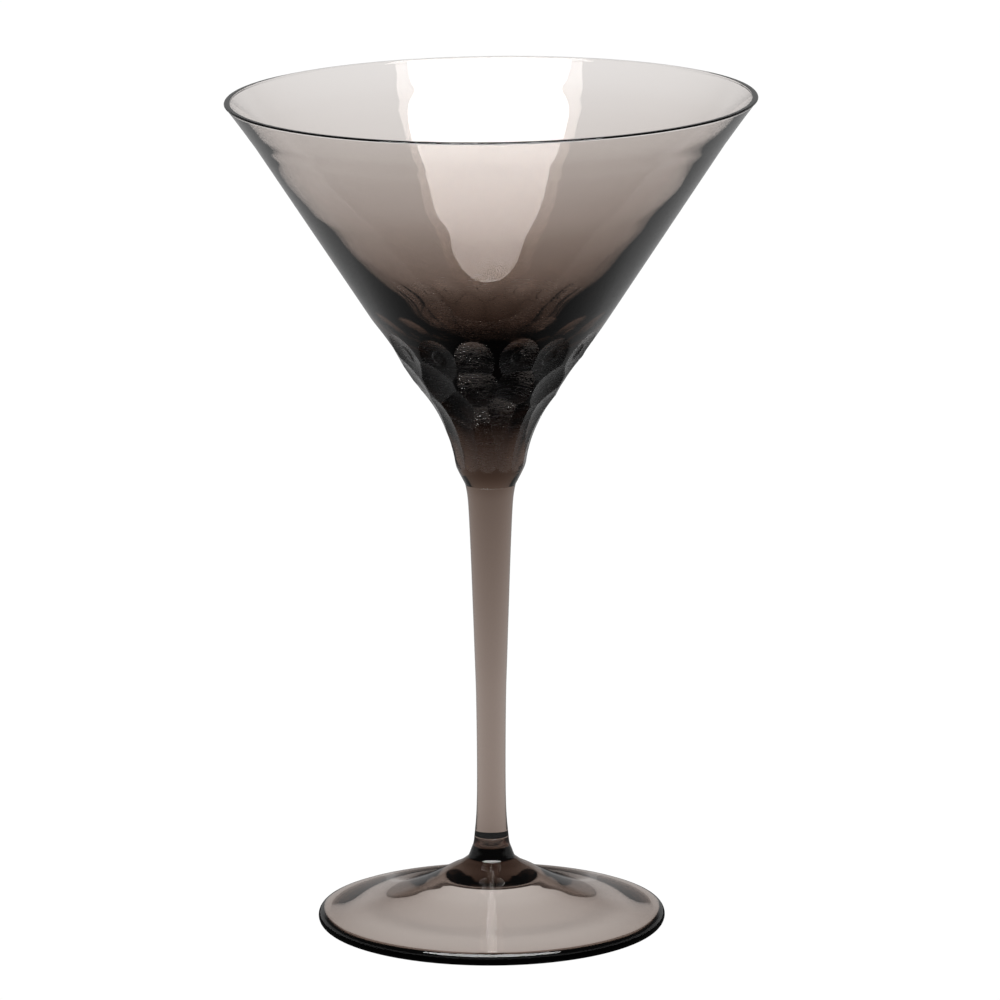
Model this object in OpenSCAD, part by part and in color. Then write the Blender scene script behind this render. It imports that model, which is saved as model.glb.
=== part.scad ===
// Martini glass in smoke-grey glass, made by hand from three gathers of glass:
// a blown bowl with facets cut round its solid base, a drawn stem and a shaped foot.
// The three are fused hot, face to face, so they meet on two flat round joints.
// Origin: on the table, under the middle of the foot. +Z is up, -Y is the front. Millimetres.

/* [Foot] */
// Widest radius of the foot
foot_r = 39.5; // [34:0.5:46]
// Height of the foot, from the table to its joint with the stem
foot_h = 20; // [18:0.5:24]
// Thickness of the foot's rounded edge
edge_t = 3.3; // [2.8:0.1:3.8]
// Width of the flat ring that the foot rests on
rest_w = 0.7; // [0.5:0.1:1.5]
// Height of the hollow under the foot, at its middle
hollow_h = 9.5; // [8.5:0.1:10]

/* [Stem] */
// Length of the stem between its two joints
stem_l = 82; // [60:1:110]
// Radius of the stem at its slimmest
stem_r = 3.25; // [2.8:0.05:3.7]
// Radius of the joint between stem and foot
low_joint_r = 3.9; // [3.6:0.05:4.4]
// Radius of the joint between bowl and stem
high_joint_r = 5.7; // [5.4:0.05:6]

/* [Bowl] */
// Height of the bowl, from its joint to the rim
bowl_h = 88.6; // [84:0.2:96]
// Radius of the bowl at the rim
rim_r = 60; // [57:0.2:64]
// Thickness of the wall near the rim, square to the wall
wall_t = 1.2; // [1:0.1:1.6]
// Height of the solid glass below the inside
solid_h = 30.5; // [29:0.5:32]

/* [Facets] */
// Radius of the grinding wheel's rounded face, which leaves each facet slightly hollow
wheel_r = 30; // [28:1:40]
// How deep the wheel goes at the middle of a facet
cut_t = 0.8; // [0.6:0.05:0.9]
// How far a facet strays from its even place round the bowl, in degrees
stray = 2; // [0:0.5:3]
// How far a facet strays up or down from its row
lift = 0.7; // [0:0.1:1]

/* [Hidden] */
$fn = 144;

SMOKE = [0.42, 0.38, 0.36, 0.75];
bowl_z = foot_h + stem_l;

// The bowl's outside as [radius, height above the joint]: a neck with a shoulder, a straight
// cone, and a lip that opens a little more
cone_low = [13.4, 18];
cone_high = [rim_r - 7.1, bowl_h - 10];
cone_slope = (cone_high.x - cone_low.x) / (cone_high.y - cone_low.y);
wall_across = wall_t * sqrt(1 + cone_slope * cone_slope);
lip_round = 0.4;

// Rows of facets, from the top: height above the joint, number round the bowl, angle of the
// first one from the front, share of wheel_r, share of cut_t
ROWS = [
    [32.3, 15, -9, 0.9, 1],
    [24.9, 12, -11, 0.9, 1.1],
    [18.7, 8, -32, 0.9, 1.1],
    [12.6, 13, -32, 1, 0.5],
];

// The hollow under the foot, from its middle out: shares of its radius and of its height
HOLLOW = [
    [0, 1], [0.23, 0.98], [0.34, 0.79], [0.46, 0.55], [0.62, 0.34], [0.81, 0.19], [0.93, 0.07], [1, 0],
];

// A point a share t along the smooth curve from b to c, with a and d the stations beside them
function between(a, b, c, d, t) =
    0.5 * (2 * b + (c - a) * t + (2 * a - 5 * b + 4 * c - d) * t * t
        + (3 * b - a - 3 * c + d) * t * t * t);

// A smooth line through stations p, with n points to each stretch
function smooth(p, n) = [
    for (i = [0 : len(p) - 2])
        for (k = [0 : n - 1])
            between(p[max(i - 1, 0)], p[i], p[i + 1], p[min(i + 2, len(p) - 1)], k / n),
    p[len(p) - 1],
];

// Points on an arc about c, from angle a to angle b
function arc(c, r, a, b, n) = [
    for (k = [0 : n]) c + r * [cos(a + (b - a) * k / n), sin(a + (b - a) * k / n)],
];

neck = smooth([
    [high_joint_r, 0],
    [high_joint_r + 2, 4],
    [8.7, 7],
    [9.3, 10],
    [11, 14.2],
    cone_low,
], 3);
flare = smooth([
    cone_high,
    [rim_r - 3.55, bowl_h - 5],
    [rim_r - 0.2, bowl_h - lip_round],
], 3);

// How far the cone's outside stands from the axis at a height above the joint
function cone_r(z) = cone_low.x + cone_slope * (z - cone_low.y);

// How far the outside stands from the axis at a height below the lip, on the neck or the cone
function outside_r(z) = z > cone_low.y ? cone_r(z) : lookup(z, [for (p = neck) [p.y, p.x]]);

// The bowl's inside, down from the lip to the middle of its rounded floor
inside = smooth([
    [rim_r - wall_across, bowl_h - lip_round],
    [rim_r - 3.55 - wall_across, bowl_h - 5],
    [cone_high.x - wall_across - 0.3, cone_high.y],
    [cone_r(68) - wall_across - 0.9, 68],
    [cone_r(60) - wall_across - 1.7, 60],
    [31.4, solid_h + 21.5],
    [26.2, solid_h + 15.5],
    [21.6, solid_h + 10.5],
    [17.3, solid_h + 6.5],
    [13, solid_h + 3.6],
    [8.3, solid_h + 1.5],
    [3.8, solid_h + 0.4],
    [0, solid_h],
], 3);

// How far facet i of row k strays round the bowl and up it, from -1 to 1, the same each time
function sway(i, k) = sin(137 * i + 71 * k);
function rise(i, k) = sin(101 * i + 53 * k);

// The wheel's rounded face, set to go a depth t into the outside at height z
module wheel_face(z, r, t) {
    slope = outside_r(z + 0.5) - outside_r(z - 0.5);
    out = [1, -slope] / norm([1, slope]);
    at = [outside_r(z), z] + (r - t) * out;
    translate([at.x, 0, at.y]) sphere(r = r);
}

module bowl() {
    lip = [rim_r - lip_round, bowl_h - lip_round];
    color(SMOKE)
        translate([0, 0, bowl_z])
            difference() {
                rotate_extrude()
                    polygon(concat(
                        [[0, 0]],
                        neck,
                        flare,
                        arc(lip, lip_round, 0, 90, 4),
                        arc(lip - [wall_across - 2 * lip_round, 0], lip_round, 90, 150, 3),
                        inside
                    ));
                for (k = [0 : len(ROWS) - 1])
                    for (i = [0 : ROWS[k][1] - 1])
                        rotate([0, 0, ROWS[k][2] + 360 * i / ROWS[k][1] + stray * sway(i, k) - 90])
                            wheel_face(
                                ROWS[k][0] + lift * rise(i, k),
                                wheel_r * ROWS[k][3],
                                cut_t * ROWS[k][4]
                            );
            }
}

module stem() {
    outside = smooth([
        [low_joint_r, 0],
        [stem_r + 0.15, 6],
        [stem_r, 16],
        [stem_r + 0.15, 32],
        [stem_r + 0.45, 42],
        [stem_r + 0.85, 54],
        [stem_r + 1.35, stem_l - 14],
        [stem_r + 1.85, stem_l - 4],
        [high_joint_r, stem_l],
    ], 4);
    color(SMOKE)
        translate([0, 0, foot_h])
            rotate_extrude()
                polygon(concat([[0, 0]], outside, [[0, stem_l]]));
}

module foot() {
    edge_r = edge_t / 2;
    hollow_r = foot_r - edge_r - rest_w;
    top = smooth([
        [foot_r - 0.6 * edge_r, 0.96 * edge_t],
        [30, 0.24 * foot_h],
        [23, 0.33 * foot_h],
        [17, 0.44 * foot_h],
        [12.5, 0.55 * foot_h],
        [9.6, 0.63 * foot_h],
        [7.5, 0.68 * foot_h],
        [6.2, 0.725 * foot_h],
        [low_joint_r + 1.5, 0.755 * foot_h],
        [low_joint_r + 1.1, 0.795 * foot_h],
        [low_joint_r + 0.7, 0.85 * foot_h],
        [low_joint_r + 0.2, 0.92 * foot_h],
        [low_joint_r, foot_h],
    ], 3);
    color(SMOKE)
        rotate_extrude()
            polygon(concat(
                smooth([for (p = HOLLOW) [p.x * hollow_r, p.y * hollow_h]], 3),
                arc([foot_r - edge_r, edge_r], edge_r, -90, 50, 8),
                top,
                [[0, foot_h]]
            ));
}

bowl();
stem();
foot();
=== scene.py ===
# %% [markdown]
# # A smoke-glass martini glass
# This notebook builds the looks of a hand-made martini glass round its CAD frame. The frame
# says where each of the three solids is, and how big. Blender adds what a plain solid can't
# show: tinted glass that bends and darkens light, facets ground matt by a wheel, the small
# unevenness of hand work, and a white studio, because clear glass looks like what is round it.

# %% The frame
import math

import bmesh
import bpy
import numpy as np
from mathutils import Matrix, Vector


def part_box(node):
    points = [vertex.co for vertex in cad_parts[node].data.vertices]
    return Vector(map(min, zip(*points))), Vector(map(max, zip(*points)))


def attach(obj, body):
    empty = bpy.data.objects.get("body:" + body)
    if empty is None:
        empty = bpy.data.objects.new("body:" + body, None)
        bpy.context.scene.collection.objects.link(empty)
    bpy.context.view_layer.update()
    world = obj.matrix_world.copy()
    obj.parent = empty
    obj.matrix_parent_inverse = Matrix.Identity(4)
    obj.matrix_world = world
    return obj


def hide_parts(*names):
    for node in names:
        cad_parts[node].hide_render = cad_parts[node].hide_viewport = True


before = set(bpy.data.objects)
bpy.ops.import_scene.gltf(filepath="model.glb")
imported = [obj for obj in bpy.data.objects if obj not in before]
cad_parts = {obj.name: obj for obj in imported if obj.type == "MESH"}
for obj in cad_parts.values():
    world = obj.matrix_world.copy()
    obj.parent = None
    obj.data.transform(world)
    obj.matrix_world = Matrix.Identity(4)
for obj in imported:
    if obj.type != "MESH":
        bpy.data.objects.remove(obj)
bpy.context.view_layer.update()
MM = 0.001

# %% [markdown]
# ## Sizes
# The bowl, the stem and the foot are three gathers of glass, fused while hot on two flat round
# joints. The frame's boxes give the height of each joint and the radius of the rim and foot, so
# those aren't typed again. What a box can't show is named here, and everything is in
# millimetres until the pieces are finished, because a glass is easier to think of that way.

# %% Sizes in millimetres
FOOT_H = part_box("foot")[1].z / MM
BOWL_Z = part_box("bowl")[0].z / MM
BOWL_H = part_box("bowl")[1].z / MM - BOWL_Z
STEM_L = BOWL_Z - FOOT_H
RIM_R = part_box("bowl")[1].x / MM
FOOT_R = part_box("foot")[1].x / MM
HIGH_JOINT_R = 5.7
LOW_JOINT_R = 3.9
# A joint's flat face stops this far inside its edge, so that only the flat part is marked fused
JOINT_EDGE = 0.02
print(f"foot {FOOT_H:.1f} high, stem {STEM_L:.1f} long, bowl {BOWL_H:.1f} high, rim {RIM_R:.2f}")

# %% [markdown]
# ## Outlines
# Blown and drawn glass has no corners, because surface tension pulls it smooth while it is
# soft. Each outline is therefore a few stations joined by a smooth line. A Bezier curve could
# do it, but a Catmull-Rom curve passes through its stations, so they can be the same ones that
# the solid uses. An outline is then cut into even steps, so that no face is long and thin.

# %% Smooth lines and arcs
def smooth(stations, n):
    """A smooth line through the stations, with n points to each stretch."""
    p = [stations[0], *stations, stations[-1]]
    line = []
    for a, b, c, d in zip(p, p[1:], p[2:], p[3:]):
        for t in np.arange(n) / n:
            line.append([
                0.5 * (2 * q + (r - o) * t + (2 * o - 5 * q + 4 * r - s) * t**2
                       + (3 * q - o - 3 * r + s) * t**3)
                for o, q, r, s in zip(a, b, c, d)
            ])
    return [*line, list(stations[-1])]


def arc(centre, radius, start, end, n):
    """Points on an arc from one angle to another, in degrees."""
    angles = np.radians(np.linspace(start, end, n + 1))
    return [[centre[0] + radius * math.cos(a), centre[1] + radius * math.sin(a)] for a in angles]


def even(line, step):
    """The same line with its points a step apart or a little less."""
    line = np.array(line, float)
    along = np.concatenate([[0], np.cumsum(np.hypot(*np.diff(line, axis=0).T))])
    spots = np.linspace(0, along[-1], math.ceil(along[-1] / step) + 1)
    return np.stack([np.interp(spots, along, line[:, i]) for i in (0, 1)], axis=1)


print("a smooth line through 3 stations:", len(smooth([[0, 0], [1, 1], [2, 0]], 8)), "points")

# %% [markdown]
# ## The lathe
# Glass is shaped while it turns on the iron, so each piece is a surface of revolution. The Screw
# modifier could turn an outline, but it puts the same number of points in every ring. Here the
# rings are made one by one, so that the ground part of the bowl can have three times as many
# points round it as the plain parts, and sharp facets cost nothing elsewhere.

# %% Rings and skins
# Points round a ring: COARSE on plain parts, FINE where the eye looks closest
COARSE = 192
FINE = 3 * COARSE


def ring(bm, r, z, count):
    """A ring of vertices, or the one vertex that a ring on the axis shrinks to."""
    if r < 1e-6:
        return [bm.verts.new((0, 0, z))]
    turn = 2 * math.pi / count
    return [bm.verts.new((r * math.cos(i * turn), r * math.sin(i * turn), z)) for i in range(count)]


def skin(bm, a, b):
    """The faces between two rings, either of which may be one point or three times as fine."""
    if len(a) > len(b):
        a, b = b, a
    n = max(len(a), len(b) // 3)
    for i in range(n):
        j = (i + 1) % n
        if len(a) == 1:
            corners = [(a[0], b[k % len(b)], b[(k + 1) % len(b)]) for k in range(3 * i, 3 * i + 3)]
        elif len(a) == len(b):
            corners = [(a[i], a[j], b[j], b[i])]
        else:
            f = [b[(3 * i + k) % len(b)] for k in range(4)]
            corners = [(a[i], f[1], f[0]), (a[i], a[j], f[2], f[1]), (a[j], f[3], f[2])]
        for corner in corners:
            bm.faces.new(corner)


# %% Turning an outline
def turned(name, line, fine=None):
    """A closed piece turned from an outline, with fine rings where fine(r, z) says."""
    bm = bmesh.new()
    rings = [ring(bm, r, z, FINE if fine and fine(r, z) else COARSE) for r, z in line]
    for a, b in zip(rings, rings[1:]):
        skin(bm, a, b)
    bmesh.ops.recalc_face_normals(bm, faces=bm.faces)
    for face in bm.faces:
        face.smooth = True
    mesh = bpy.data.meshes.new(name)
    bm.to_mesh(mesh)
    bm.free()
    piece = bpy.data.objects.new(name, mesh)
    bpy.context.scene.collection.objects.link(piece)
    mesh.calc_loop_triangles()
    print(name, "has", len(mesh.loop_triangles), "triangles")
    return piece


def points(piece):
    """The places of a piece's vertices, in its own units."""
    flat = np.empty(3 * len(piece.data.vertices))
    piece.data.vertices.foreach_get("co", flat)
    return flat.reshape(-1, 3)


def keep(piece, name, kind, field, values):
    """Keeps a number or a vector for each vertex, for the material to read."""
    layer = piece.data.attributes.new(name, kind, "POINT")
    layer.data.foreach_set(field, np.asarray(values, float).ravel())

# %% [markdown]
# ## The bowl
# The outside is a short neck with a shoulder, then a straight cone that opens a little more at
# the lip. The inside isn't a cone to the bottom: hot glass runs down while the bowl is blown, so
# the wall grows from about a millimetre at the lip to several above a deep solid base. That
# growth is what makes the bowl fade from pale to nearly black, with one tint all through.

# %% Outside of the bowl
CONE_LOW = [13.4, 18]
CONE_HIGH = [RIM_R - 7.1, BOWL_H - 10]
SLOPE = (CONE_HIGH[0] - CONE_LOW[0]) / (CONE_HIGH[1] - CONE_LOW[1])
LIP_ROUND = 0.4


def cone_r(z):
    """How far the cone's outside stands from the axis at a height above the joint."""
    return CONE_LOW[0] + SLOPE * (z - CONE_LOW[1])


neck = smooth([
    [HIGH_JOINT_R, 0], [HIGH_JOINT_R + 2, 4], [8.7, 7], [9.3, 10], [11, 14.2], CONE_LOW,
], 8)
flare = smooth([CONE_HIGH, [RIM_R - 3.55, BOWL_H - 5], [RIM_R - 0.2, BOWL_H - LIP_ROUND]], 8)
print(f"the cone opens {math.degrees(math.atan(SLOPE)):.1f} degrees from the axis")

# %% Inside of the bowl
WALL_T = 1.2
WALL_ACROSS = WALL_T * math.hypot(1, SLOPE)
SOLID_H = 30.5
inside = smooth([
    [RIM_R - WALL_ACROSS, BOWL_H - LIP_ROUND],
    [RIM_R - 3.55 - WALL_ACROSS, BOWL_H - 5],
    [CONE_HIGH[0] - WALL_ACROSS - 0.3, CONE_HIGH[1]],
    [cone_r(68) - WALL_ACROSS - 0.9, 68],
    [cone_r(60) - WALL_ACROSS - 1.7, 60],
    [31.4, SOLID_H + 21.5],
    [26.2, SOLID_H + 15.5],
    [21.6, SOLID_H + 10.5],
    [17.3, SOLID_H + 6.5],
    [13, SOLID_H + 3.6],
    [8.3, SOLID_H + 1.5],
    [3.8, SOLID_H + 0.4],
    [0, SOLID_H],
], 8)
print(f"wall {WALL_T} mm at the lip, solid glass {SOLID_H} mm deep under the drink")

# %% Turning the bowl
# How far apart the rings are on the ground part, on the plain outside and on the inside
GROUND_STEP, PLAIN_STEP, INSIDE_STEP = 0.4, 1.2, 1.0
# The heights between which a wheel can reach the outside
GROUND_LOW, GROUND_TOP = 3, 41
joint_face = [[0, 0], [HIGH_JOINT_R - JOINT_EDGE, 0]]
low = even([*neck, [cone_r(GROUND_TOP), GROUND_TOP]], GROUND_STEP)
high = even([[cone_r(GROUND_TOP), GROUND_TOP], *flare], PLAIN_STEP)
lip_x, lip_z = RIM_R - LIP_ROUND, BOWL_H - LIP_ROUND
lip = arc([lip_x, lip_z], LIP_ROUND, 10, 90, 6) + arc(
    [lip_x - WALL_ACROSS + 2 * LIP_ROUND, lip_z], LIP_ROUND, 90, 150, 6)
bowl_line = [*joint_face, *low, *high[1:], *lip, *even(inside, INSIDE_STEP)]
bowl = turned(
    "glass_bowl", bowl_line,
    fine=lambda r, z: GROUND_LOW < z < GROUND_TOP - 0.1 and r > cone_r(z) - 3)

# %% [markdown]
# ## The ground facets
# A cutter holds the finished bowl against a wheel with a rounded face, so each facet is a
# shallow hollow with an arched top, and each row bites into the row above it. Boolean cuts by
# spheres would give that shape, but they leave slivers where the cuts overlap. Pushing each
# vertex in to the deepest wheel gives the same surface on an even mesh, and the depth and the
# direction of each cut are then known, which the material needs for the wheel's scratches.

# %% Where the wheel goes
# The wheel's rounded face and how deep it goes, then how far the hand strays round the bowl in
# degrees, and up or down
WHEEL_R = 30
CUT_T = 0.8
STRAY = 2
LIFT = 0.7
# From the top: height above the joint, number round the bowl, angle of the first from the
# front in degrees, share of WHEEL_R, share of CUT_T
ROWS = [
    (32.3, 15, -9, 0.9, 1),
    (24.9, 12, -11, 0.9, 1.1),
    (18.7, 8, -32, 0.9, 1.1),
    (12.6, 13, -32, 1, 0.5),
]


def outside_r(z):
    """How far the outside stands from the axis at a height below the lip."""
    heights, radii = [p[1] for p in neck], [p[0] for p in neck]
    return cone_r(z) if z > CONE_LOW[1] else np.interp(z, heights, radii)


def stray(i, k):
    """How facet i of row k strays round and up, each from -1 to 1, and the same every time."""
    return math.sin(math.radians(137 * i + 71 * k)), math.sin(math.radians(101 * i + 53 * k))


def facet_wheels():
    """Each facet's wheel: its centre, its radius, and the facet's direction and height."""
    for k, (row_z, count, first, wheel_share, cut_share) in enumerate(ROWS):
        radius, depth = WHEEL_R * wheel_share, CUT_T * cut_share
        for i in range(count):
            sway, rise = stray(i, k)
            height = row_z + LIFT * rise
            slope = outside_r(height + 0.5) - outside_r(height - 0.5)
            out = np.array([1, -slope]) / math.hypot(1, slope)
            at = np.array([outside_r(height), height]) + (radius - depth) * out
            turn = math.radians(first + 360 * i / count + STRAY * sway - 90)
            centre = np.array([at[0] * math.cos(turn), at[0] * math.sin(turn), at[1]])
            yield centre, radius, turn, height


print(len(list(facet_wheels())), "facets in", len(ROWS), "rows")

# %% How deep each wheel bites
def bite(p, n, centre, radius):
    """How far inward a wheel pushes each point p with normal n, or how far off it stays."""
    away = p - centre
    along = (away * n).sum(1)
    clear = radius - np.linalg.norm(away, axis=1)
    depth = along + np.sqrt(np.maximum(along**2 - (away**2).sum(1) + radius**2, 0))
    return np.where(clear > 0, depth, clear)


# Scratches lean up to this many radians off level, by an amount that differs from facet to facet
SCRATCH_LEAN = 0.16
# Facets lie this far apart in the noise, so that no two get the same scratches
FACET_APART = 3.7


def scratch_frame(p, turn, height, number):
    """Each point's place on a facet in millimetres: along the scratches, across them, and which."""
    lean = SCRATCH_LEAN * math.sin(2.3 * number)
    around = (np.arctan2(p[:, 1], p[:, 0]) - turn + math.pi) % (2 * math.pi) - math.pi
    u = around * np.hypot(p[:, 0], p[:, 1])
    v = (p[:, 2] - height) * math.hypot(1, SLOPE)
    return np.stack([u * math.cos(lean) + v * math.sin(lean),
                     v * math.cos(lean) - u * math.sin(lean),
                     np.full(len(p), FACET_APART * number)], axis=1)

# %% Grinding
# The depth that is kept for a point which no wheel comes near
UNTOUCHED = -5.0
# Faces that meet at more than this many degrees keep a sharp edge, as facets do
CREASE = 7


def grind(piece):
    """Cuts every facet, and keeps how deep and which way each point was ground."""
    co = points(piece)
    old_r = np.array([outside_r(z) for z in co[:, 2]])
    reach = (co[:, 2] > 1) & (co[:, 2] < GROUND_TOP)
    outside = reach & (np.hypot(co[:, 0], co[:, 1]) > old_r - 0.05)
    p = co[outside]
    slope = np.array([outside_r(z + 0.5) - outside_r(z - 0.5) for z in p[:, 2]])
    r = np.hypot(p[:, 0], p[:, 1])
    n = np.stack([p[:, 0] / r, p[:, 1] / r, -slope], axis=1) / np.hypot(1, slope)[:, None]
    deepest, grain = np.full(len(p), UNTOUCHED), np.zeros((len(p), 3))
    for number, (centre, radius, turn, height) in enumerate(facet_wheels()):
        depth = bite(p, n, centre, radius)
        new = depth > deepest
        deepest[new] = depth[new]
        grain[new] = scratch_frame(p[new], turn, height, number)
    co[outside] -= n * np.maximum(deepest, 0)[:, None]
    piece.data.vertices.foreach_set("co", co.ravel())
    cut, scratches = np.full(len(co), UNTOUCHED), np.zeros((len(co), 3))
    cut[outside], scratches[outside] = deepest, grain
    keep(piece, "cut", "FLOAT", "value", cut)
    keep(piece, "grain", "FLOAT_VECTOR", "vector", scratches)
    piece.data.update()
    piece.data.set_sharp_from_angle(angle=math.radians(CREASE))
    print("deepest facet", round(float(deepest.max()), 2), "mm")


grind(bowl)

# %% [markdown]
# ## Marks of the hand
# A blown bowl is never quite even. The rim is sheared and fire-polished by eye, so it leans a
# little, the inside sits a fraction off centre, and faint ripples stay in the wall. They are
# too small to see in the outline, but they bend reflections, which is how the eye tells blown
# glass from moulded. Sine waves give ripples of a known length, and nothing random to seed.

# %% Lean, drift and ripples
# The rim's drop at its middle, which doubles on its low side and starts LEAN_LOW above the joint
RIM_LEAN = 0.6
LEAN_LOW = 45
# How far the inside sits to the left, and the height and length of a ripple
DRIFT = 0.3
RIPPLE_H = 0.014
RIPPLE_L = 17
# Drift and ripples die out over LIP_FADE, and are gone LIP_CALM below the lip
LIP_CALM, LIP_FADE = 4, 20


def by_hand(piece):
    """Lowers one side of the rim, and moves and ripples the inside by hundredths of a mm."""
    co = points(piece)
    x, y, z = co.T.copy()
    r, turn = np.hypot(x, y), np.arctan2(y, x)
    fade = np.clip((z - LEAN_LOW) / (BOWL_H - LEAN_LOW), 0, 1) ** 2
    lean = RIM_LEAN * fade * (x / RIM_R - 1) * r / RIM_R
    inner = (z > SOLID_H - 1) & (r < cone_r(z) - 0.6 * WALL_ACROSS)
    low_down = inner * np.clip((BOWL_H - LIP_CALM - z) / LIP_FADE, 0, 1)
    wave = 2 * math.pi * z / RIPPLE_L
    ripple = np.sin(wave + 3 * turn) + 0.6 * np.sin(1.9 * wave - 5 * turn)
    wider = 1 + (RIPPLE_H * low_down * ripple + SLOPE * lean) / np.maximum(r, 1)
    moved = np.stack([x * wider - DRIFT * low_down, y * wider, z + lean], axis=1)
    piece.data.vertices.foreach_set("co", moved.ravel())
    piece.data.update()
    print(f"rim leans {-lean.min():.2f} mm, ripples {RIPPLE_H} mm high and {RIPPLE_L} mm long")


by_hand(bowl)

# %% [markdown]
# ## The stem
# The stem is drawn out of the glass while it is hot, so it is slimmest below its middle and
# swells to a joint at each end. It ends a hair short of its neighbours: if two glass surfaces
# were in exactly one place, the renderer couldn't tell which one a ray meets first.

# %% Stem
# How short the stem stops of its neighbours, and its radius where it is slimmest
GAP = 0.002
SLIM_R = 3.25
stem_line = [[r, min(max(z, GAP), STEM_L - GAP)] for r, z in smooth([
    [LOW_JOINT_R, 0],
    [SLIM_R + 0.15, 6],
    [SLIM_R, 16],
    [SLIM_R + 0.15, 32],
    [SLIM_R + 0.45, 42],
    [SLIM_R + 0.85, 54],
    [SLIM_R + 1.35, STEM_L - 14],
    [SLIM_R + 1.85, STEM_L - 4],
    [HIGH_JOINT_R, STEM_L],
], 12)]
stem = turned("glass_stem", [
    [0, GAP], [LOW_JOINT_R - JOINT_EDGE, GAP],
    *stem_line,
    [HIGH_JOINT_R - JOINT_EDGE, STEM_L - GAP], [0, STEM_L - GAP],
])

# %% [markdown]
# ## The foot
# The foot is a gather opened out with wooden paddles into a low cone, with a rounded edge. Its
# underside is hollow and keeps nearly level with the top, and that matters: a solid foot traps
# light between its two faces and turns black, while a thin shell lets the white table show
# through. Only the hub stays thick and dark, with a tight turn where it meets the stem.

# %% Foot
# The edge's thickness, the width of the flat ring that the foot rests on, and the hollow's height
EDGE_T = 3.3
EDGE_R = EDGE_T / 2
REST_W = 0.7
HOLLOW_R = FOOT_R - EDGE_R - REST_W
HOLLOW_H = 9.5
# From the middle out: shares of HOLLOW_R and of HOLLOW_H
HOLLOW = [
    [0, 1], [0.23, 0.98], [0.34, 0.79], [0.46, 0.55], [0.62, 0.34], [0.81, 0.19], [0.93, 0.07], [1, 0],
]
under = smooth([[x * HOLLOW_R, y * HOLLOW_H] for x, y in HOLLOW], 8)
edge = arc([FOOT_R - EDGE_R, EDGE_R], EDGE_R, -90, 50, 20)
top = smooth([
    [FOOT_R - 0.6 * EDGE_R, 0.96 * EDGE_T],
    [30, 0.24 * FOOT_H],
    [23, 0.33 * FOOT_H],
    [17, 0.44 * FOOT_H],
    [12.5, 0.55 * FOOT_H],
    [9.6, 0.63 * FOOT_H],
    [7.5, 0.68 * FOOT_H],
    [6.2, 0.725 * FOOT_H],
    [LOW_JOINT_R + 1.5, 0.755 * FOOT_H],
    [LOW_JOINT_R + 1.1, 0.795 * FOOT_H],
    [LOW_JOINT_R + 0.7, 0.85 * FOOT_H],
    [LOW_JOINT_R + 0.2, 0.92 * FOOT_H],
    [LOW_JOINT_R, FOOT_H],
], 10)
foot_line = [*even(under, 1), *edge, *top[1:], [LOW_JOINT_R - JOINT_EDGE, FOOT_H], [0, FOOT_H]]
foot = turned("glass_foot", foot_line, fine=lambda r, z: r > HOLLOW_R - 0.5)

# %% [markdown]
# ## Fused joints
# The real glass is one body once it is fused: light passes a joint and nearly ignores it. Three
# closed meshes would each bend light at their flat ends, so those faces are marked, and the
# material gives them air's index of refraction. Light then goes straight on from one piece to
# the next, and all that shows is a fine line, as it does where two gathers meet.

# %% Scale and place
# How level a face is when it counts as flat, and how near in mm to a joint when it is part of it
LEVEL, AT_JOINT = 0.999, 0.1


def settle(piece, base_z, joints):
    """Puts a piece on its base in metres, and marks the flat faces where it is fused."""
    co = points(piece)
    co[:, 2] += base_z
    piece.data.vertices.foreach_set("co", (co * MM).ravel())
    fused = np.zeros(len(piece.data.polygons))
    for i, face in enumerate(piece.data.polygons):
        level = abs(face.normal.z) > LEVEL
        fused[i] = level and any(abs(face.center.z / MM - joint) < AT_JOINT for joint in joints)
        if fused[i]:
            face.use_smooth = False
    piece.data.attributes.new("fused", "FLOAT", "FACE").data.foreach_set("value", fused)
    piece.data.update()
    print(piece.name, "has", int(fused.sum()), "fused faces")


settle(bowl, BOWL_Z, [BOWL_Z])
settle(stem, FOOT_H, [FOOT_H, BOWL_Z])
settle(foot, 0, [FOOT_H])

# %% [markdown]
# ## Smoke glass
# This is potash glass, coloured grey all through by a little metal oxide in the melt, blown and
# left as it cools: fire-polished, so perfectly smooth. A tinted surface colour would make thick
# and thin glass equally dark. Volume Absorption takes light away for each millimetre that it
# passes, a little more from blue than from red, which is why thin glass looks neutral and
# thick glass looks warm brown.

# %% Node helper
def add(tree, kind, links=(), **settings):
    """Adds a node, sets its sockets and options, and links (socket, source) pairs."""
    node = tree.nodes.new(kind)
    for name, value in settings.items():
        if hasattr(node, name):
            setattr(node, name, value)
        else:
            node.inputs[name.replace("_", " ")].default_value = value
    for socket, source in links:
        tree.links.new(source, node.inputs[socket])
    return node


def colour(hex_code):
    """An sRGB hex colour as linear RGBA."""
    parts = [int(hex_code[i : i + 2], 16) / 255 for i in (1, 3, 5)]
    return [*(c / 12.92 if c < 0.04045 else ((c + 0.055) / 1.055) ** 2.4 for c in parts), 1]

# %% [markdown]
# ## The ground finish
# Where the wheel has been, the glass is the same but its skin is torn by grit: dull, with fine
# scratches that run level round the bowl and a few better polished patches. An image could show
# scratches, but noise stretched along the facet's own directions follows every facet without
# seams. Most of the dullness is roughness, and a slight bump makes single scratches catch light.

# %% The wheel's scratches
# A wheel's grit leaves scratches a few hundredths of a millimetre apart. These are drawn
# SCRATCH_W apart, because real ones would be too fine to show, and SCRATCH_L long. PATCH is the
# size of a polished patch, and EDGE_FADE the depth at which a facet is fully ground, all in mm.
SCRATCH_W, SCRATCH_L = 0.28, 5
PATCH = 3.3
EDGE_FADE = 0.05
# The roughness between scratches and in them, and how deep they are in metres
POLISHED, GROUND = 0.05, 0.4
SCRATCH_DEEP = 0.00008
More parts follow.
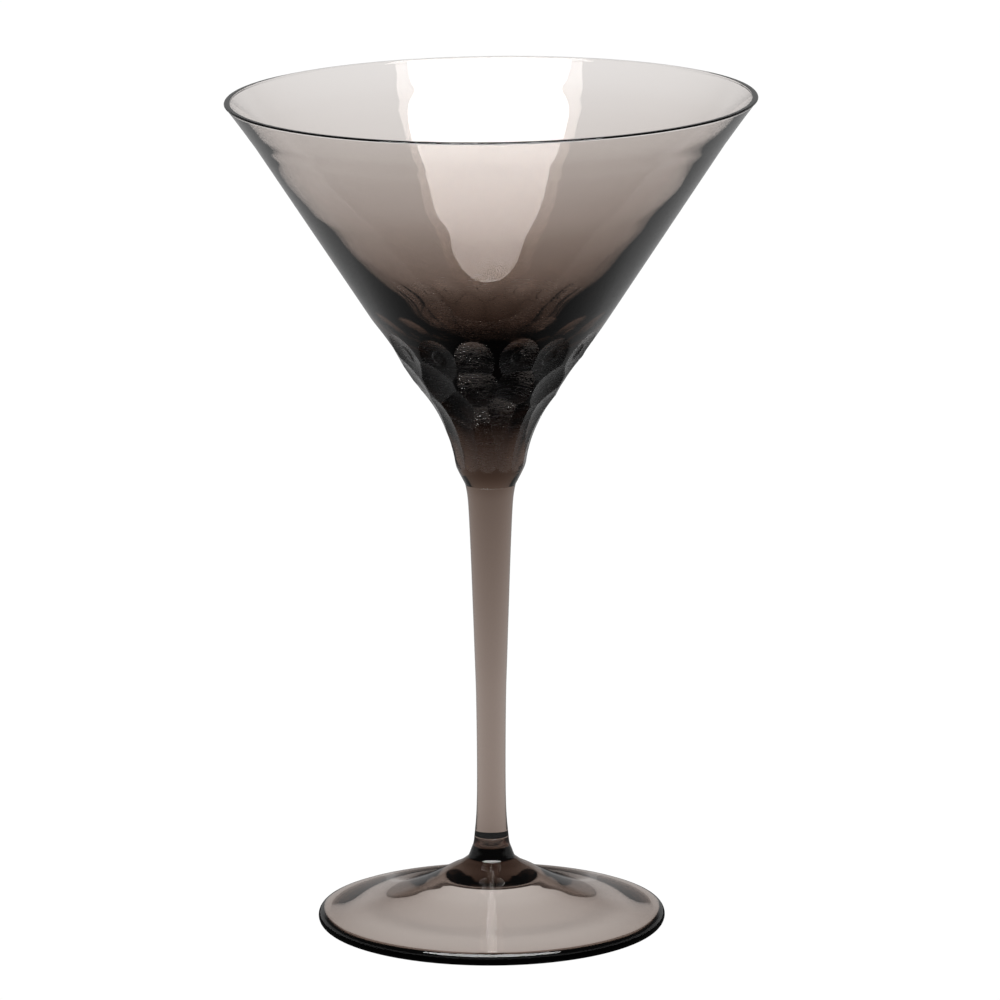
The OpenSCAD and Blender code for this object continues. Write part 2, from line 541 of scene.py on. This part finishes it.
# The part of the noise's range that goes from one to the other, for patches and for scratches
PATCH_LOW, PATCH_HIGH, LEAST_WEAR = 0.3, 0.65, 0.55
GRIT_LOW, GRIT_HIGH = 0.48, 0.66


def scratches(tree):
    """Roughness and a normal for the ground facets, which leave the rest of the glass smooth."""
    cut = add(tree, "ShaderNodeAttribute", attribute_name="cut")
    grain = add(tree, "ShaderNodeAttribute", attribute_name="grain")
    ground = add(tree, "ShaderNodeMapRange", [("Value", cut.outputs["Fac"])], From_Max=EDGE_FADE)
    scaled = add(tree, "ShaderNodeVectorMath", [(0, grain.outputs["Vector"])], operation="MULTIPLY")
    scaled.inputs[1].default_value = (1 / SCRATCH_L, 1 / SCRATCH_W, 1)
    lines = add(tree, "ShaderNodeTexNoise", [("Vector", scaled.outputs[0])], Scale=1, Detail=3)
    patches = add(tree, "ShaderNodeTexNoise", [("Vector", grain.outputs["Vector"])],
                  Scale=1 / PATCH, Detail=1)
    wear = add(tree, "ShaderNodeMapRange", [("Value", patches.outputs["Fac"])],
               From_Min=PATCH_LOW, From_Max=PATCH_HIGH, To_Min=LEAST_WEAR)
    worn = add(tree, "ShaderNodeMath", [(0, ground.outputs["Result"]), (1, wear.outputs["Result"])],
               operation="MULTIPLY")
    grit = add(tree, "ShaderNodeMapRange", [("Value", lines.outputs["Fac"])],
               From_Min=GRIT_LOW, From_Max=GRIT_HIGH, To_Min=POLISHED, To_Max=GROUND)
    rough = add(tree, "ShaderNodeMath", [(0, worn.outputs[0]), (1, grit.outputs["Result"])],
                operation="MULTIPLY")
    height = add(tree, "ShaderNodeMath", [(0, lines.outputs["Fac"]), (1, worn.outputs[0])],
                 operation="MULTIPLY")
    bump = add(tree, "ShaderNodeBump", [("Height", height.outputs[0])], Distance=SCRATCH_DEEP)
    return rough.outputs[0], bump.outputs["Normal"]

# %% Smoke glass
# Light lost per metre in red, green and blue. DENSITY only has to be above all three.
ABSORB = (205, 240, 262)
DENSITY = 300
GLASS_IOR, AIR_IOR = 1.52, 1.0


def smoke_glass():
    """Clear tinted glass: it reflects a little, bends light and darkens with thickness."""
    material = bpy.data.materials.new("smoke_glass")
    material.use_nodes = True
    tree = material.node_tree
    tree.nodes.clear()
    rough, normal = scratches(tree)
    fused = add(tree, "ShaderNodeAttribute", attribute_name="fused")
    ior = add(tree, "ShaderNodeMapRange", [("Value", fused.outputs["Fac"])],
              To_Min=GLASS_IOR, To_Max=AIR_IOR)
    clear = add(tree, "ShaderNodeBsdfPrincipled",
                [("Roughness", rough), ("Normal", normal), ("IOR", ior.outputs["Result"])],
                Transmission_Weight=1)
    clear.inputs["Base Color"].default_value = colour("#ffffff")
    tint = add(tree, "ShaderNodeVolumeAbsorption", Density=DENSITY)
    tint.inputs["Color"].default_value = (*(1 - a / DENSITY for a in ABSORB), 1)
    add(tree, "ShaderNodeOutputMaterial",
        [("Surface", clear.outputs["BSDF"]), ("Volume", tint.outputs["Volume"])])
    return material


glass = smoke_glass()
for piece, node in ((bowl, "bowl"), (stem, "stem"), (foot, "foot")):
    piece.data.materials.append(glass)
    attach(piece, "root")
    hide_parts(node)
print("light left after 1 mm:", [round(math.exp(-a * MM), 2) for a in ABSORB])

# %% [markdown]
# ## The studio
# Glass has no look of its own, so the studio is part of it. The table and the room are both
# white, which shows every thickness of tint. If they also lit the front of the glass, its
# reflections would turn the darkest parts grey. A glass studio stops that with black cards and
# a polariser. Here the Light Path node does it: light that reaches the lens by reflection
# meets a dark ceiling, a faint backdrop near the horizon and a table that is dim close to the
# glass, where a painted shadow of the glass darkens it, while light that comes through the
# glass meets plain white. It is the same from every side, because none of it depends on where
# the camera stands.

# %% White and dim light
# WHITE is a little over 1, so that the background stays clean. The rest is for reflections: the
# ceiling, and the table up to NEAR metres and beyond FAR metres from the middle of the glass;
# the dim table close to the glass is a painted shadow of the glass.
WHITE = 1.02
ROOM_GLOW = 0.05
NEAR, FAR = 0.06, 0.22
SHADOW_GLOW, FAR_GLOW = 0.02, 0.38


def polarised(tree):
    """A strength that is white, but drops to its To Max for light that comes by reflection."""
    path = add(tree, "ShaderNodeLightPath")
    mirrored = add(tree, "ShaderNodeMath",
                   [(0, path.outputs["Is Glossy Ray"]), (1, path.outputs["Is Transmission Ray"])],
                   operation="SUBTRACT")
    return add(tree, "ShaderNodeMapRange", [("Value", mirrored.outputs[0])],
               To_Min=WHITE, To_Max=ROOM_GLOW)

# %% Table
# In metres. The table is a hair lower than the foot, so that the two never share a surface.
TABLE_R = 6
TABLE_DROP = 0.00002
TABLE_CORNERS = 96


def lit_acrylic_painted_shadow():
    """White acrylic lit from below, the plain table that glass is best seen on, with a painted shadow
    of the glass that dims its reflections close to the glass.
    """
    material = bpy.data.materials.new("lit_acrylic_painted_shadow")
    material.use_nodes = True
    tree = material.node_tree
    tree.nodes.clear()
    place = add(tree, "ShaderNodeTexCoord")
    away = add(tree, "ShaderNodeVectorMath", [(0, place.outputs["Object"])], operation="LENGTH")
    # Painted shadow of the glass: in reflections the table is darkest close to the glass and brightens
    # out to FAR metres
    painted_shadow = add(tree, "ShaderNodeMapRange", [("Value", away.outputs["Value"])],
              From_Min=NEAR, From_Max=FAR, To_Min=SHADOW_GLOW, To_Max=FAR_GLOW)
    strength = polarised(tree)
    tree.links.new(painted_shadow.outputs["Result"], strength.inputs["To Max"])
    light = add(tree, "ShaderNodeEmission", [("Strength", strength.outputs["Result"])])
    add(tree, "ShaderNodeOutputMaterial", [("Surface", light.outputs[0])])
    return material


bm = bmesh.new()
bmesh.ops.create_circle(bm, cap_ends=True, segments=TABLE_CORNERS, radius=TABLE_R)
table_mesh = bpy.data.meshes.new("table")
bm.to_mesh(table_mesh)
bm.free()
table_mesh.materials.append(lit_acrylic_painted_shadow())
table = bpy.data.objects.new("table", table_mesh)
table.location.z = -TABLE_DROP
bpy.context.scene.collection.objects.link(table)
print("table", 2 * TABLE_R, "m across")

# %% White room
# The backdrop's strength in reflections, and between which heights it fades into the ceiling
BACKDROP_GLOW = 0.3
BACKDROP_LOW, BACKDROP_HIGH = math.radians(14), math.radians(20)
world = bpy.data.worlds.new("white_room")
world.use_nodes = True
bpy.context.scene.world = world
room = world.node_tree
sky = add(room, "ShaderNodeTexCoord")
up = add(room, "ShaderNodeSeparateXYZ", [("Vector", sky.outputs["Generated"])])
fall = add(room, "ShaderNodeMapRange", [("Value", up.outputs["Z"])],
           From_Min=math.sin(BACKDROP_LOW), From_Max=math.sin(BACKDROP_HIGH),
           To_Min=BACKDROP_GLOW, To_Max=ROOM_GLOW)
strength = polarised(room)
room.links.new(fall.outputs["Result"], strength.inputs["To Max"])
background = room.nodes["Background"]
background.inputs["Color"].default_value = colour("#ffffff")
room.links.new(strength.outputs["Result"], background.inputs["Strength"])
print("backdrop shows in reflections up to", round(math.degrees(BACKDROP_HIGH)), "degrees")

# %% [markdown]
# ## The key light
# One big oval softbox hangs above and in front. It hardly lights clear glass, but its
# reflection draws the long white tongue inside the back of the bowl, a dash at the root of the
# foot and a thin line on the foot's edge. Its size and height set how wide and how deep the
# tongue is, so they were tuned to the reflection and not to the brightness.

# %% Softbox
def softbox(name, elevation, distance, width, height, radiance):
    """An oval lamp in front of the glass, facing it, at an elevation in degrees."""
    lamp = bpy.data.lights.new(name, "AREA")
    lamp.shape = "ELLIPSE"
    lamp.size, lamp.size_y = width, height
    oval = math.pi / 4 * width * height
    lamp.energy = radiance * math.pi * oval
    box = bpy.data.objects.new(name, lamp)
    bpy.context.scene.collection.objects.link(box)
    e = math.radians(elevation)
    target = Vector((0, 0, BOWL_Z * MM))
    box.location = target + distance * Vector((0, -math.cos(e), math.sin(e)))
    box.rotation_euler = (target - box.location).to_track_quat("-Z", "Y").to_euler()
    print(name, "at", [round(v, 2) for v in box.location])


softbox("key_softbox", elevation=55, distance=1.6, width=2.5, height=1.5, radiance=9)

# %% [markdown]
# ## The camera
# A long lens from a little above the rim, which is how glasses are catalogued: the rim and the
# foot open into narrow ellipses, and the sides of the cone stay straight.

# %% Camera
AWAY, UP = 1.6785, 0.467
LOOK_DOWN = 12.3925
# A hair of roll, as from a tripod that isn't quite level, and the turn that keeps the glass centred
ROLL, TURN = 0.17, -0.0374
LENS, SENSOR = 274.24, 36
SHIFT = 0.0095
camera = bpy.data.objects.new("camera", bpy.data.cameras.new("camera"))
bpy.context.scene.collection.objects.link(camera)
camera.location = (0, -AWAY, UP)
camera.rotation_euler = [math.radians(a) for a in (90 - LOOK_DOWN, ROLL, TURN)]
camera.data.lens = LENS
camera.data.sensor_width = SENSOR
camera.data.shift_x = SHIFT
bpy.context.scene.camera = camera
print(f"lens {LENS:.0f} mm, looking down {LOOK_DOWN:.1f} degrees from {AWAY:.2f} m away")

# %% Colour and bounces
# Standard keeps white at white. Many bounces let light find its way out of the thick base.
BOUNCES = 32
scene = bpy.context.scene
scene.view_settings.view_transform = "Standard"
scene.cycles.max_bounces = BOUNCES
scene.cycles.transmission_bounces = BOUNCES
scene.cycles.glossy_bounces = BOUNCES // 2
print("light may bend or bounce", BOUNCES, "times")
